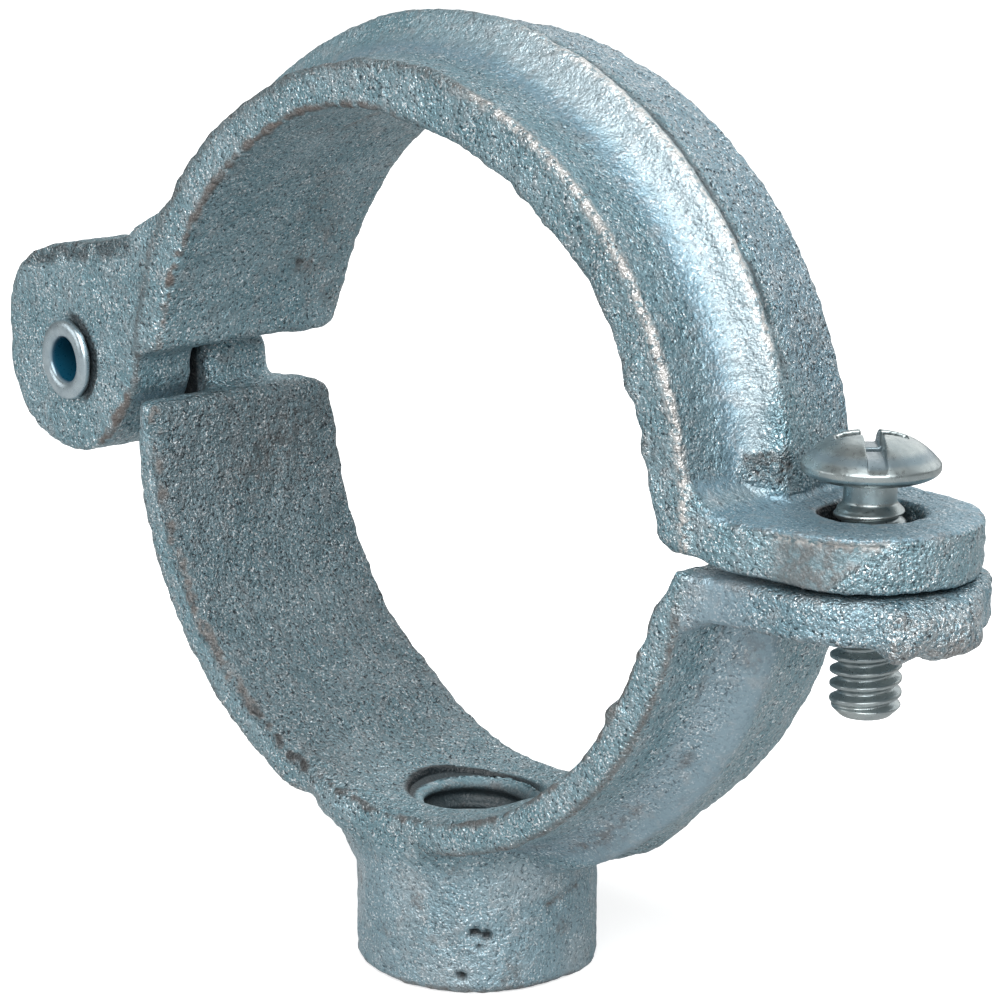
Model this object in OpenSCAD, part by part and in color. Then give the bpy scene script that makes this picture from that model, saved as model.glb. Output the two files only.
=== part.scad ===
// Split ring hanger: two cast half rings hinged on a tubular rivet and closed by one machine screw.
// The boss below the lower half is tapped for a threaded rod.
// Origin: centre of the boss mouth. Z runs up through the boss, Y along the pipe, X from hinge to screw.
// Sizes named _z are heights counted from the pipe axis, which lies boss_drop above the boss mouth.

/* [Ring] */
// inside diameter of the closed ring
ring_d = 52; // [50:0.5:54]
// width of the ring along the pipe
ring_w = 18.5; // [17:0.1:21]
// radial thickness of the flange at its edges
flange_t = 2.75; // [2.2:0.05:3.4]
// height of the crest of the outside rib above the flange
rib_h = 3.1; // [2.5:0.05:4]
// rounding on the crest and the shoulder of the rib
crest_r = 1; // [0.6:0.1:1.3]
// distance of the crest from mid-width, towards the near side
crest_y = 1.8; // [1:0.1:2.5]
// distance from mid-width where the hollow near flank starts to rise
flank_y = 6.8; // [6:0.1:7.2]
// distance of the far shoulder of the rib from mid-width
shoulder_y = 5.7; // [5:0.1:6]
// how far the rib falls away from its crest to its shoulder
shoulder_drop = 1.35; // [0.8:0.05:1.8]
// slope of the back of the rib, down to the far face
back_deg = 42; // [40:1:44]
// rounding of the near outer edge of the flange
edge_r = 0.5; // [0.3:0.1:1]
// rounding of the inner edges of the flange
inner_edge_r = 0.4; // [0.2:0.1:0.8]

/* [Boss] */
// outside diameter of the boss
boss_d = 18.3; // [16:0.1:18.4]
// distance from the pipe axis down to the boss mouth
boss_drop = 39.5; // [38:0.5:48]
// rounding round the boss mouth
boss_edge_r = 0.6; // [0.4:0.1:2]
// fillet where the boss flares into the ring
boss_fillet_r = 5; // [3:0.5:6]
// minor diameter of the 3/8-16 rod thread
rod_d = 7.94; // [6:0.01:9]
// diameter of the countersink at the boss mouth
rod_mouth_d = 9.7; // [9.2:0.1:11]
// depth of the countersink
rod_sink = 0.5; // [0.3:0.1:1.5]
// diameter of the relief that opens the thread inside the ring
rod_relief_d = 10.2; // [9.4:0.1:12]
// depth of that relief
rod_relief_h = 1.1; // [0.5:0.1:2]

/* [Hinge] */
// distance from the pipe axis to the rivet axis
hinge_x = 37; // [36.5:0.1:38]
// height of the rivet axis
hinge_z = 3.4; // [3:0.1:3.8]
// outside radius of the rounded lug ends
knuckle_r = 7.5; // [6.5:0.1:7.6]
// thickness of the near lug
near_lug_t = 6.05; // [5:0.05:7]
// free gap between the two lugs
lug_gap = 1.5; // [0.6:0.1:2]
// thickness of the far lug
far_lug_t = 6.4; // [5:0.05:7]
// rise of the near lug above the rivet axis
lug_rise = 8.9; // [8.5:0.1:10]
// corner radius on top of the near lug
lug_corner_r = 6.3; // [5:0.1:7]
// slope of the top edge of the near lug
lug_top_deg = 10; // [6:1:14]
// length of that edge before it rises to the ring
lug_top_l = 10.5; // [8:0.1:12]
// slope of the rise to the ring
lug_web_deg = 26; // [20:1:32]
// distance from the rivet axis to the inner side of both lugs
lug_side = 8.6; // [8.4:0.1:9]
// room left round each lug for its swing
swing_clear = 1.1; // [0.8:0.1:1.2]
// height of the hinge end of the upper half
upper_end_z = 5.6; // [5:0.1:7]
// height of the hinge end of the lower half
lower_end_z = 1.1; // [0:0.1:1.3]
// rounding of the far corner of both ends
end_corner_r = 2.2; // [1:0.1:3]

/* [Rivet] */
// diameter of the shank
rivet_d = 5.1; // [4.6:0.1:5.8]
// radial clearance of the shank in both lugs
rivet_clear = 0.06; // [0.02:0.01:0.1]
// diameter of the bore
rivet_bore_d = 3.95; // [2.5:0.05:4.1]
// diameter of the rolled flange
rivet_flange_d = 6.9; // [6.6:0.1:8]
// thickness of the rolled flange
rivet_flange_t = 0.8; // [0.5:0.05:1.2]
// diameter of the head behind
rivet_head_d = 8.6; // [7:0.1:10]
// height of the head behind
rivet_head_h = 1.6; // [1:0.1:2.5]

/* [Ears] */
// distance from the pipe axis to the screw axis
screw_x = 36.6; // [36.2:0.1:38]
// radius of the round end of the upper ear
upper_ear_r = 7.9; // [7.5:0.1:8.6]
// radius of the round end of the lower ear
lower_ear_r = 8.2; // [7.5:0.1:8.6]
// distance of the middle of both round ends from the screw axis, towards the near side
ear_y = 0.5; // [0:0.1:0.6]
// height of the top of the upper ear
upper_top_z = 1.25; // [0.8:0.05:2]
// height of the underside of the upper ear where it meets the bore
upper_under_z = -0.95; // [-1.2:0.05:-0.5]
// height of that underside beside the screw hole
upper_seat_z = -2.15; // [-2.2:0.05:-1.2]
// slope of that underside out to the end of the ear
upper_seat_deg = 1.6; // [0:0.1:2]
// height of the top of the lower ear
lower_top_z = -2.75; // [-4:0.05:-2.7]
// thickness of the lower ear
lower_ear_t = 3.1; // [2.5:0.05:4.5]
// fillet between the ears and the ring
ear_fillet_r = 4.6; // [3:0.1:6]
// clearance hole in the upper ear
ear_hole_d = 7; // [6:0.1:7.6]
// rounding where the bore meets the underside of the upper ear
bore_corner_r = 1.6; // [0.5:0.1:2]
// width of the bevel where the bore meets the top of the lower ear
bevel_w = 2.4; // [1:0.1:2.6]
// height of that bevel
bevel_h = 3.4; // [1.5:0.1:4]

/* [Screw] */
// major diameter of the 10-24 thread
screw_d = 4.76; // [4.2:0.01:5]
// radial clearance of the plain screw in the tapped ear
tap_clear = 0.08; // [0.02:0.01:0.1]
// diameter of the neck under the head
neck_d = 3.5; // [3:0.05:4]
// length of the neck
neck_h = 1.6; // [0.5:0.1:2]
// height of the underside of the head
head_under_z = 3.45; // [2.2:0.05:5]
// diameter of the head
head_d = 9.12; // [8:0.02:9.6]
// height of the head
head_h = 3; // [2.6:0.05:3.4]
// rounding of the rim of the head
head_edge_r = 1.3; // [0.9:0.05:1.4]
// radius of the crown of the head
head_crown_r = 9; // [7:0.5:20]
// room for the head where the rib is cut back
head_room = 0.6; // [0.4:0.1:1]
// height of the tip of the screw
tip_z = -12.8; // [-15:0.1:-10]
// chamfer at the tip
tip_chamfer = 0.7; // [0.3:0.1:1]
// width of the slot and of the cross recess
slot_w = 1.25; // [0.9:0.05:1.5]
// depth of the slot
slot_h = 1.2; // [0.8:0.05:1.4]
// length of the cross recess at its mouth
cross_l = 5.2; // [4.4:0.1:6]
// depth of the cross recess
cross_h = 2.1; // [1.6:0.1:2.2]
// direction of the slot
slot_deg = -47; // [-90:1:90]

/* [Hidden] */
$fn = 96;
eps = 0.01;
big = 120;
// how far a cutting shape runs past the face that it cuts
overcut = 1;

bore_r = ring_d / 2;
flange_r = bore_r + flange_t;
crest_top_r = flange_r + rib_h;
half_w = ring_w / 2;

// hollow near flank, tangent to the flange at flank_y and to the rounding of the crest
flank_run = flank_y - crest_y;
flank_r = rib_h / 2 - crest_r + flank_run * flank_run / (2 * rib_h);
flank_c = flange_r + flank_r;
crest_c = crest_top_r - crest_r;
flank_share = flank_r / (flank_r + crest_r);
tangent_r = flank_c + (crest_c - flank_c) * flank_share;
// gentle slope from the crest to the shoulder
shoulder_c = crest_c - shoulder_drop;
plateau_deg = atan(shoulder_drop / (shoulder_y + crest_y));
// arcs that run into another face cut this far into it
bite = 0.05;
// middle of the flange wall, where joined shapes end
wall_r = bore_r + flange_t / 2;

// fillet circle that touches the flange and the side of the boss
boss_r = boss_d / 2;
flare_x = boss_r + boss_fillet_r;
flare_z = -sqrt(pow(flange_r + boss_fillet_r, 2) - flare_x * flare_x);
flare_end_x = flare_x * flange_r / (flange_r + boss_fillet_r);
// the flare runs up into the bore, which is cut last
flare_top_z = -sqrt(pow(bore_r - flange_t / 2, 2) - flare_end_x * flare_end_x);

near_lug_back = -half_w + near_lug_t;
far_lug_front = near_lug_back + lug_gap;
far_lug_back = far_lug_front + far_lug_t;
swing_r = knuckle_r + swing_clear;
lug_side_x = lug_side - hinge_x;
// direction in which the flat cut on the rib faces the rivet
rib_cut_deg = 25;
// where the rounded end of a lug runs into its straight sides
foot_deg = 35;
foot_side_h = 1.2;
web_deg = 60;
web_drop = 1.7 * knuckle_r;
lug_corner_x = -hinge_x - knuckle_r + lug_corner_r;
lug_corner_z = hinge_z + lug_rise - lug_corner_r;
lug_edge_x = lug_corner_x - (lug_corner_r - bite) * sin(lug_top_deg);
lug_edge_z = lug_corner_z + (lug_corner_r - bite) * cos(lug_top_deg);
lug_knee_x = lug_edge_x + lug_top_l * cos(lug_top_deg);
lug_knee_z = lug_edge_z + lug_top_l * sin(lug_top_deg);
// the rise of the near lug runs on until it is inside the flange wall
lug_along = lug_knee_x * cos(lug_web_deg) + lug_knee_z * sin(lug_web_deg);
lug_across = lug_knee_z * cos(lug_web_deg) - lug_knee_x * sin(lug_web_deg);
lug_run = -lug_along - sqrt(wall_r * wall_r - lug_across * lug_across);
lug_meet_x = lug_knee_x + lug_run * cos(lug_web_deg);
lug_meet_z = lug_knee_z + lug_run * sin(lug_web_deg);

rivet_r = rivet_d / 2;
rivet_l = far_lug_back + half_w;
rivet_wall = (rivet_d - rivet_bore_d) / 2;
rivet_seat = 0.05;

lower_under_z = lower_top_z - lower_ear_t;
// the bevel of the lower half leaves the bore here
bevel_z = lower_top_z - bevel_h;
bevel_x = sqrt(bore_r * bore_r - bevel_z * bevel_z) - bite;
// the flat seat under the upper ear starts this far short of the hole
seat_margin = 1.5;
seat_x = screw_x - ear_hole_d / 2 - seat_margin;
// the ear fillets cut this far into both faces that they join
fillet_bite = 0.15;
screw_r = screw_d / 2;
tap_r = screw_r + tap_clear;
head_r = head_d / 2;
head_top_z = head_under_z + head_h;
// what is left of the rib's end on the ear
rib_stub = 0.25;
// half length of the cross recess at half its depth, as a share of its full length
cross_taper = 0.35;

// distance from the pipe axis to the middle of the flange wall at height z
function wall_at(z) = sqrt(wall_r * wall_r - z * z);

// rectangle from (x0, -h) to (x1, h) with corners rounded by ra at x0 and by rb at x1
module rounded_box(x0, x1, h, ra, rb) {
    difference() {
        translate([x0, -h])
            square([x1 - x0, 2 * h]);
        translate([x0, -h])
            corner_waste(ra);
        translate([x0, h])
            mirror([0, 1])
                corner_waste(ra);
        translate([x1, -h])
            mirror([1, 0])
                corner_waste(rb);
        translate([x1, h])
            rotate(180)
                corner_waste(rb);
    }
}

// an ear seen from above: sides that run in to a round end
module ear_plan(r) {
    translate([screw_x, -ear_y])
        circle(r = r);
    polygon([
        [wall_r, -half_w + bite],
        [screw_x, -ear_y - r + bite],
        [screw_x, -ear_y + r - bite],
        [wall_r, half_w - bite]
    ]);
}

// what a quarter round of radius r leaves over in the corner at the origin
module corner_waste(r) {
    difference() {
        translate([-overcut, -overcut])
            square([r + overcut, r + overcut]);
        translate([r, r])
            circle(r = r);
    }
}

// fillet of radius r between the flange and a flat face at height z, with the metal on the side s of it
module flange_fill(z, s, r) {
    c_z = z - s * (r - fillet_bite);
    c_x = sqrt(pow(flange_r + r - fillet_bite, 2) - c_z * c_z);
    wall = wall_r / (flange_r + r - fillet_bite);
    difference() {
        polygon([
            [c_x * wall, c_z * wall],
            [c_x, c_z],
            [c_x, z + s * overcut],
            [c_x * wall, z + s * overcut]
        ]);
        translate([c_x, c_z])
            circle(r = r);
    }
}

// a flat shape drawn in x and z, carried from y0 to y1
module across(y0, y1) {
    translate([0, y1, 0])
        rotate([90, 0, 0])
            linear_extrude(height = y1 - y0)
                children();
}

// a flat shape drawn in y and z, carried from x0 to x1
module along(x0, x1) {
    translate([x0, 0, 0])
        rotate([90, 0, 90])
            linear_extrude(height = x1 - x0)
                children();
}

// a round bar along y through (x, z)
module bar(x, z, r, y0, y1) {
    translate([x, y1, z])
        rotate([90, 0, 0])
            cylinder(r = r, h = y1 - y0);
}

// rib of the ring: crest, plateau and shoulder, with the near flank hollowed out
module rib_section() {
    difference() {
        union() {
            translate([wall_r, -flank_y])
                square([tangent_r - wall_r, flank_y - crest_y]);
            for (c = [[crest_c, -crest_y], [shoulder_c, shoulder_y]])
                translate(c)
                    circle(r = crest_r);
            polygon([
                [wall_r, -crest_y - bite],
                [crest_c, -crest_y - bite],
                [crest_c + (crest_r - bite) * cos(plateau_deg), -crest_y + (crest_r - bite) * sin(plateau_deg)],
                [shoulder_c + (crest_r - bite) * cos(plateau_deg), shoulder_y + (crest_r - bite) * sin(plateau_deg)],
                [shoulder_c + crest_r * cos(back_deg), shoulder_y + crest_r * sin(back_deg)],
                [wall_r, half_w]
            ]);
        }
        translate([flank_c, -flank_y])
            circle(r = flank_r + bite);
    }
}

// section of the ring: radius in x, width in y, with the near side at negative y
module ring_section() {
    difference() {
        union() {
            rounded_box(bore_r, flange_r, half_w, inner_edge_r, edge_r);
            rib_section();
        }
        // sloping back, from the shoulder to the far face
        translate([shoulder_c, shoulder_y])
            rotate(back_deg)
                translate([crest_r - bite, -2 * crest_r])
                    square([half_w, half_w]);
    }
}

// the seam of the turned ring lies at seam_deg, away from the half that is kept
module whole_ring(seam_deg) {
    rotate([-90, 0, 0])
        rotate(-seam_deg)
            rotate_extrude()
                ring_section();
}

// everything above the split, seen along the pipe
module above_split() {
    polygon([
        [-big, upper_end_z],
        [0, upper_end_z],
        [0, upper_under_z],
        [bore_r, upper_under_z],
        [seat_x, upper_seat_z],
        [big, upper_seat_z - (big - seat_x) * tan(upper_seat_deg)],
        [big, big],
        [-big, big]
    ]);
}

// everything below the split, seen along the pipe
module below_split() {
    polygon([
        [-big, lower_end_z],
        [0, lower_end_z],
        [0, lower_top_z],
        [big, lower_top_z],
        [big, -big],
        [-big, -big]
    ]);
}

module upper_ring() {
    difference() {
        intersection() {
            whole_ring(-90);
            across(-big, big)
                above_split();
        }
        // the rib is cut off flat to leave room for the far lug
        across(near_lug_back, big)
            translate([-hinge_x, hinge_z])
                rotate(rib_cut_deg)
                    translate([-big / 2, -big / 2])
                        square([big / 2 + swing_r, big]);
        along(-big, -bore_r + flange_t)
            translate([half_w, upper_end_z])
                mirror([1, 0])
                    corner_waste(end_corner_r);
    }
}

module lower_ring() {
    difference() {
        intersection() {
            whole_ring(90);
            across(-big, big)
                below_split();
        }
        // room for the near lug to swing in
        bar(-hinge_x, hinge_z, swing_r, -big, far_lug_front);
        along(-big, -bore_r + flange_t)
            translate([half_w, lower_end_z])
                rotate(180)
                    corner_waste(end_corner_r);
    }
}

module near_lug() {
    across(-half_w, near_lug_back) {
        translate([-hinge_x, hinge_z])
            circle(r = knuckle_r);
        translate([lug_corner_x, lug_corner_z])
            circle(r = lug_corner_r);
        polygon([
            [-hinge_x - knuckle_r + bite, hinge_z],
            [-hinge_x + knuckle_r * cos(foot_deg), hinge_z - knuckle_r * sin(foot_deg)],
            [lug_side_x, hinge_z - foot_side_h],
            [lug_side_x, upper_end_z - foot_side_h / 2],
            [-wall_at(upper_end_z), upper_end_z],
            [lug_meet_x, lug_meet_z],
            [lug_knee_x, lug_knee_z],
            [lug_edge_x, lug_edge_z],
            [-hinge_x - knuckle_r + bite, lug_corner_z]
        ]);
    }
}

module far_lug() {
    across(far_lug_front, far_lug_back) {
        translate([-hinge_x, hinge_z])
            circle(r = knuckle_r);
        polygon([
            [-hinge_x - knuckle_r * sin(web_deg - foot_deg), hinge_z - knuckle_r * cos(web_deg - foot_deg)],
            [-wall_at(hinge_z - web_drop), hinge_z - web_drop],
            [-wall_at(lower_end_z), lower_end_z],
            [lug_side_x, lower_end_z + foot_side_h / 2],
            [lug_side_x, hinge_z + foot_side_h],
            [-hinge_x, hinge_z + knuckle_r / 2]
        ]);
    }
}

module upper_ear() {
    intersection() {
        translate([0, 0, -big])
            linear_extrude(height = 2 * big)
                ear_plan(upper_ear_r);
        union() {
            across(-big, big)
                intersection() {
                    above_split();
                    translate([wall_r / 2, -big])
                        square([big, big + upper_top_z]);
                }
            across(-big, shoulder_y)
                flange_fill(upper_top_z, -1, ear_fillet_r);
        }
    }
}

module lower_ear() {
    intersection() {
        translate([0, 0, -big])
            linear_extrude(height = 2 * big)
                ear_plan(lower_ear_r);
        union() {
            across(-big, big)
                translate([wall_r / 2, lower_under_z])
                    square([big, lower_ear_t]);
            across(-big, shoulder_y)
                flange_fill(lower_under_z, 1, ear_fillet_r);
        }
    }
}

module boss() {
    rotate_extrude()
        difference() {
            translate([0, -boss_drop])
                square([boss_r, boss_drop + flare_top_z]);
            translate([boss_r, -boss_drop])
                mirror([1, 0])
                    corner_waste(boss_edge_r);
        }
    intersection() {
        rotate_extrude()
            difference() {
                translate([0, flare_z])
                    square([flare_end_x, flare_top_z - flare_z]);
                translate([flare_x, flare_z])
                    circle(r = boss_fillet_r);
            }
        translate([-big / 2, -half_w, -big])
            cube([big, ring_w, big]);
    }
}

module upper_half() {
    color("LightSteelBlue")
        difference() {
            union() {
                upper_ring();
                near_lug();
                upper_ear();
            }
            bar(0, 0, bore_r, -big, big);
            across(-big, big)
                translate([bore_r - fillet_bite, upper_under_z])
                    corner_waste(bore_corner_r);
            bar(-hinge_x, hinge_z, rivet_r + rivet_clear, -big, big);
            translate([screw_x, 0, -big / 2])
                cylinder(d = ear_hole_d, h = big);
            // the end of the rib is cut off flat to let the screw head down
            translate([screw_x - head_r - head_room, -half_w, upper_top_z + rib_stub])
                cube([big, ring_w, big]);
        }
}

module lower_half() {
    color("SlateGray")
        difference() {
            union() {
                lower_ring();
                far_lug();
                lower_ear();
                boss();
            }
            bar(0, 0, bore_r, -big, big);
            across(-big, big)
                polygon([
                    [0, bevel_z],
                    [bevel_x, bevel_z],
                    [bore_r + bevel_w, lower_top_z],
                    [bore_r + bevel_w, lower_top_z + overcut],
                    [0, lower_top_z + overcut]
                ]);
            bar(-hinge_x, hinge_z, rivet_r + rivet_clear, -big, big);
            translate([screw_x, 0, -big / 2])
                cylinder(r = tap_r, h = big);
            translate([0, 0, -boss_drop - eps])
                cylinder(d = rod_d, h = boss_drop);
            translate([0, 0, -boss_drop - eps])
                cylinder(d1 = rod_mouth_d, d2 = rod_d, h = rod_sink + eps);
            translate([0, 0, -bore_r - rod_relief_h])
                cylinder(d = rod_relief_d, h = bore_r);
        }
}

// axis of the rivet along y, with the front of the near lug at zero
module hinge_rivet() {
    color("Silver")
        translate([-hinge_x, -half_w, hinge_z])
            rotate([-90, 0, 0])
                rotate_extrude()
                    difference() {
                        union() {
                            translate([0, -rivet_seat - rivet_flange_t])
                                square([rivet_r, rivet_l + rivet_flange_t + 2 * rivet_seat + eps]);
                            translate([0, -rivet_seat - rivet_flange_t])
                                square([(rivet_flange_d - rivet_flange_t) / 2, rivet_flange_t]);
                            translate([(rivet_flange_d - rivet_flange_t) / 2, -rivet_seat - rivet_flange_t / 2])
                                circle(d = rivet_flange_t);
                            translate([0, rivet_l + rivet_seat])
                                square([(rivet_head_d - rivet_head_h) / 2, rivet_head_h]);
                            translate([(rivet_head_d - rivet_head_h) / 2, rivet_l + rivet_seat + rivet_head_h / 2])
                                circle(d = rivet_head_h);
                        }
                        translate([-overcut, -2 * rivet_flange_t])
                            square([rivet_bore_d / 2 + overcut, rivet_l - rivet_wall]);
                        translate([rivet_bore_d / 2, -rivet_seat - rivet_flange_t])
                            corner_waste(rivet_wall);
                    }
}

// head: a rounded rim under a shallow crown
module screw_head() {
    intersection() {
        translate([0, 0, head_top_z - head_crown_r])
            sphere(r = head_crown_r);
        rotate_extrude()
            difference() {
                translate([0, head_under_z])
                    square([head_r, head_h]);
                translate([head_r, head_under_z])
                    mirror([1, 0])
                        corner_waste(head_edge_r);
                translate([head_r, head_top_z])
                    rotate(180)
                        corner_waste(head_edge_r);
            }
    }
}

module screw_shank() {
    rotate_extrude()
        polygon([
            [0, head_under_z + head_edge_r],
            [neck_d / 2, head_under_z + head_edge_r],
            [neck_d / 2, head_under_z - neck_h],
            [screw_r, head_under_z - neck_h - (screw_d - neck_d) / 2],
            [screw_r, tip_z + tip_chamfer],
            [screw_r - tip_chamfer, tip_z],
            [0, tip_z]
        ]);
}

module clamp_screw() {
    color("Gainsboro")
        translate([screw_x, 0, 0])
            difference() {
                union() {
                    screw_head();
                    screw_shank();
                }
                rotate(slot_deg)
                    translate([-head_d, -slot_w / 2, head_top_z - slot_h])
                        cube([2 * head_d, slot_w, head_h]);
                rotate(slot_deg)
                    along(-slot_w / 2, slot_w / 2)
                        polygon([
                            [-cross_l / 2, head_top_z + eps],
                            [-cross_l * cross_taper, head_top_z - cross_h / 2],
                            [0, head_top_z - cross_h],
                            [cross_l * cross_taper, head_top_z - cross_h / 2],
                            [cross_l / 2, head_top_z + eps]
                        ]);
            }
}

translate([0, 0, boss_drop]) {
    upper_half();
    lower_half();
    hinge_rivet();
    clamp_screw();
}
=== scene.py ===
"""Split ring hanger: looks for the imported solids.

The two castings are skinned with a fine mesh grown from their solids, rounded and roughened as
sand castings are. The screw gets its thread the same way, and the rivet is turned from a profile.
Lengths in the shape functions are millimetres in the part's frame; meshes are stored in metres.
"""
import math
from types import SimpleNamespace

import bpy
import numpy as np
from mathutils import Matrix, Vector


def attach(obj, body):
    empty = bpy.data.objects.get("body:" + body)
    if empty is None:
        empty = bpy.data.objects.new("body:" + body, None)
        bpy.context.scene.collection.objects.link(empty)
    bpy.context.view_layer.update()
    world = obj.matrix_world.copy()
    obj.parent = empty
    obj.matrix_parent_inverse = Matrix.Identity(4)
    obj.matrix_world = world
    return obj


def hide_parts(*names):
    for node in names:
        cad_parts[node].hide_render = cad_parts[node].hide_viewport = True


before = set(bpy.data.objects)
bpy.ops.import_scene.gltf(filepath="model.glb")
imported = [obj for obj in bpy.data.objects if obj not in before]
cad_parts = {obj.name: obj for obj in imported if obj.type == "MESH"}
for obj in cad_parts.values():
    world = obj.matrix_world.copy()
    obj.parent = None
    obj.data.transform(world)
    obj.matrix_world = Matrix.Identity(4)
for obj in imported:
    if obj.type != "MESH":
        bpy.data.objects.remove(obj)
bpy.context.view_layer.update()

MM = 0.001
FULL_TURN = 2 * math.pi
LATTICE = 24           # cells after which the random fields repeat

PIPE_Z = 39.5          # height of the pipe axis above the boss mouth
HINGE = (-37.0, 42.9)  # rivet axis, x and z
SCREW_X = 36.6         # screw axis, in the plane y = 0
ROD_PITCH = 1.5875     # thread in the boss, along the axis for each turn
SCREW_PITCH = 1.058    # thread of the screw


# Fields over the part's space


def lumps(p, size, seed):
    """Smooth random field from -1 to 1: random values on a cubic lattice of the given spacing,
    blended between lattice points with the weight t*t*(3 - 2t) along each axis. The seed also
    shifts the lattice, so that fields of one spacing don't share their cell walls."""
    table = np.random.default_rng(seed).random((LATTICE, LATTICE, LATTICE)) * 2 - 1
    q = p / size + 7.31 * (seed % 13)
    i = np.floor(q).astype(int)
    t = q - i
    t = t * t * (3 - 2 * t)
    total = np.zeros(len(p))
    for corner in np.ndindex(2, 2, 2):
        c = np.array(corner)
        weight = np.prod(np.where(c == 1, t, 1 - t), axis=1)
        total += weight * table[tuple(((i + c) % LATTICE).T)]
    return total


def grains(p, size, seed):
    """Distance to the nearest grain centre, in grain sizes: one centre is thrown at random into
    each cube of a lattice, and the nearest of the 27 cubes around a point counts."""
    table = np.random.default_rng(seed).random((LATTICE, LATTICE, LATTICE, 3))
    q = p / size + 3.17 * (seed % 11)
    i = np.floor(q).astype(int)
    best = np.full(len(p), np.inf)
    for corner in np.ndindex(3, 3, 3):
        cell = i + np.array(corner) - 1
        centre = cell + table[tuple((cell % LATTICE).T)]
        best = np.minimum(best, ((centre - q) ** 2).sum(1))
    return np.sqrt(best)


def step(x, low, high):
    """Smooth step from 0 at low to 1 at high; low may be the greater of the two."""
    t = np.clip((x - low) / (high - low), 0, 1)
    return t * t * (3 - 2 * t)


def window(value, low, high, soft):
    """Weight that is one from low to high and falls to nothing over soft on both sides."""
    return step(value, low - soft, low) * step(value, high + soft, high)


def bell(*offsets):
    """Bell-shaped weight exp(-d*d) of one or more offsets d, each given in its own width."""
    return np.exp(-sum(d * d for d in offsets))


def near(p, centre, radius):
    """Bell of the distance to a centre; the radius may differ for each axis."""
    return bell(*((p - np.array(centre)) / np.array(radius)).T)


def dots(p, places):
    """Sum of the bells at a list of places, each a centre, a radius and a weight."""
    return sum(weight * near(p, centre, radius) for centre, radius, weight in places)


def beside(p, a, b, radius):
    """Bell of the distance to the straight line from a to b."""
    a, b = np.array(a), np.array(b)
    t = np.clip((p - a) @ (b - a) / ((b - a) @ (b - a)), 0, 1)
    return near(p - t[:, None] * (b - a), a, radius)


# Skins grown from the solids


def fine_mesh(node, voxel):
    """Copy of a node's mesh in millimetres, doubles merged, then cut into even faces of that size."""
    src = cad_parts[node].data
    src.calc_loop_triangles()
    tri = np.empty(len(src.loop_triangles) * 3, dtype=np.int32)
    src.loop_triangles.foreach_get("vertices", tri)
    points, back = np.unique(np.round(points_of(src) / MM, 5), axis=0, return_inverse=True)
    tri = back.reshape(-1)[tri].reshape(-1, 3)
    tri = tri[(tri[:, 0] != tri[:, 1]) & (tri[:, 1] != tri[:, 2]) & (tri[:, 2] != tri[:, 0])]
    raw = bpy.data.meshes.new(node + "_raw")
    raw.from_pydata(points, [], tri.tolist())
    carrier = bpy.data.objects.new(node + "_raw", raw)
    bpy.context.scene.collection.objects.link(carrier)
    voxels = carrier.modifiers.new("voxels", "REMESH")
    voxels.mode = "VOXEL"
    voxels.voxel_size = voxel
    graph = bpy.context.evaluated_depsgraph_get()
    fine = bpy.data.meshes.new_from_object(carrier.evaluated_get(graph))
    bpy.data.objects.remove(carrier)
    bpy.data.meshes.remove(raw)
    return fine


def points_of(mesh):
    """A mesh's points, one row each."""
    co = np.empty(len(mesh.vertices) * 3)
    mesh.vertices.foreach_get("co", co)
    return co.reshape(-1, 3)


def edges_of(mesh):
    """The pairs of points that a mesh's edges join."""
    pair = np.empty(len(mesh.edges) * 2, dtype=np.int32)
    mesh.edges.foreach_get("vertices", pair)
    return pair.reshape(-1, 2)


def normals_of(mesh, p):
    """Outward normals after the points are moved to p."""
    mesh.vertices.foreach_set("co", p.ravel())
    mesh.update()
    n = np.empty(len(p) * 3)
    mesh.vertex_normals.foreach_get("vector", n)
    return n.reshape(-1, 3)


def averaged(value, pair):
    """Mean of each point's neighbours along the mesh edges, for one value or several per point."""
    a, b = pair[:, 0], pair[:, 1]
    count = np.bincount(pair.ravel(), minlength=len(value))
    columns = value.reshape(len(value), -1)
    out = np.stack([
        np.bincount(a, columns[b, k], len(value)) + np.bincount(b, columns[a, k], len(value))
        for k in range(columns.shape[1])], axis=1)
    return (out / np.maximum(count, 1)[:, None]).reshape(value.shape)


def relaxed(value, pair, passes):
    """Moves each value half of the way to the mean of its neighbours, several times."""
    for _ in range(passes):
        value = value + 0.5 * (averaged(value, pair) - value)
    return value


def rounder(p, pair, passes, weight):
    """Rounds the skin by relaxing its points, as far as the weight of their place allows."""
    return p + (relaxed(p, pair, passes) - p) * weight[:, None]


def bend_of(p, n, pair, spread):
    """How sharply the surface bends: positive on outer edges, negative in corners and pits."""
    bend = -((averaged(p, pair) - p) * n).sum(1)
    bend = relaxed(bend, pair, spread)
    return bend / bend.std()


def store(name, mesh, p, marks, body, node, material):
    """Puts the shaped points and their marks into a piece that stands for the node."""
    mesh.vertices.foreach_set("co", (p * MM).ravel())
    for mark, value in marks.items():
        layer = mesh.attributes.new(mark, "FLOAT", "POINT")
        layer.data.foreach_set("value", value.astype(np.float32))
    mesh.polygons.foreach_set("use_smooth", np.ones(len(mesh.polygons), dtype=bool))
    mesh.update()
    mesh.name = name
    mesh.materials.clear()
    mesh.materials.append(material)
    piece = bpy.data.objects.new(name, mesh)
    bpy.context.scene.collection.objects.link(piece)
    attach(piece, body)
    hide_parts(node)


# Finishes


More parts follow.
